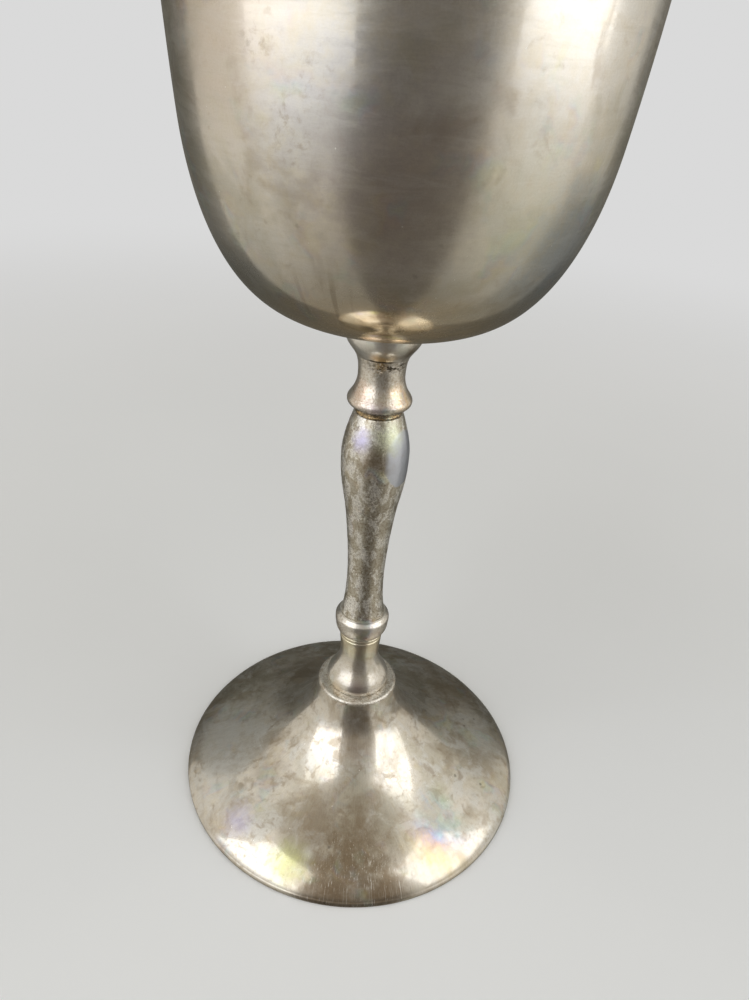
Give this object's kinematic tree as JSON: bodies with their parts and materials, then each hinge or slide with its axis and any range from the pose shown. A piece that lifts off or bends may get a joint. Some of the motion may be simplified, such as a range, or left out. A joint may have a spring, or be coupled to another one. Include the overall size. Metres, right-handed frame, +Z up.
{
  "type": "communion chalice",
  "caption": "Stemmed cup with a deep round-bottomed bowl, a turned baluster stem and a hollow flared foot, held together by a tie rod and nut.",
  "frame": {"origin": "centre of the plane that the foot stands on", "axes": "+Z up along the stem's axis; the chalice is round, so +X and +Y are any two level directions, and +X runs through the rim_rest mount's point"},
  "size_m": [0.074, 0.074, 0.178],
  "materials": {
    "bowl_silver": "softly brushed silver plate on brass, lightly tarnished",
    "stem_silver": "turned silver plate on brass, tarnished in the grooves",
    "cast_silver": "granular cast brass, silver plated, iridescent tarnish",
    "foot_silver": "polished silver plate on brass with cloudy tarnish",
    "brass": "bare brass, dull",
    "steel": "zinc plated steel, dull"
  },
  "bodies": {
    "chalice": {"bowl": "bowl_silver", "bowl_boss": "brass", "bowl_seat": "stem_silver", "upper_spool": "stem_silver", "baluster": "cast_silver", "lower_ring": "stem_silver", "lower_spool": "stem_silver", "foot_seat_ring": "stem_silver", "foot": "foot_silver", "foot_rim_wire": "brass", "tie_rod": "steel"},
    "washers": {"spreader_washer": "brass", "lock_washer": "steel"},
    "nut": {"nut": "brass"}
  },
  "joints": [
    {"name": "washer_travel", "type": "slide", "parent": "chalice", "child": "washers", "axis": [0, 0, -1], "range_m": [0, 0.0077]},
    {"name": "nut_turn", "type": "hinge", "parent": "washers", "child": "nut", "pos_m": [0, 0, 0.0191], "axis": [0, 0, -1], "range_deg": [0, 3965]}
  ],
  "couplings": [
    {"joint": "nut_turn", "follows": "washer_travel", "rad_per_m": 8976}
  ]
}
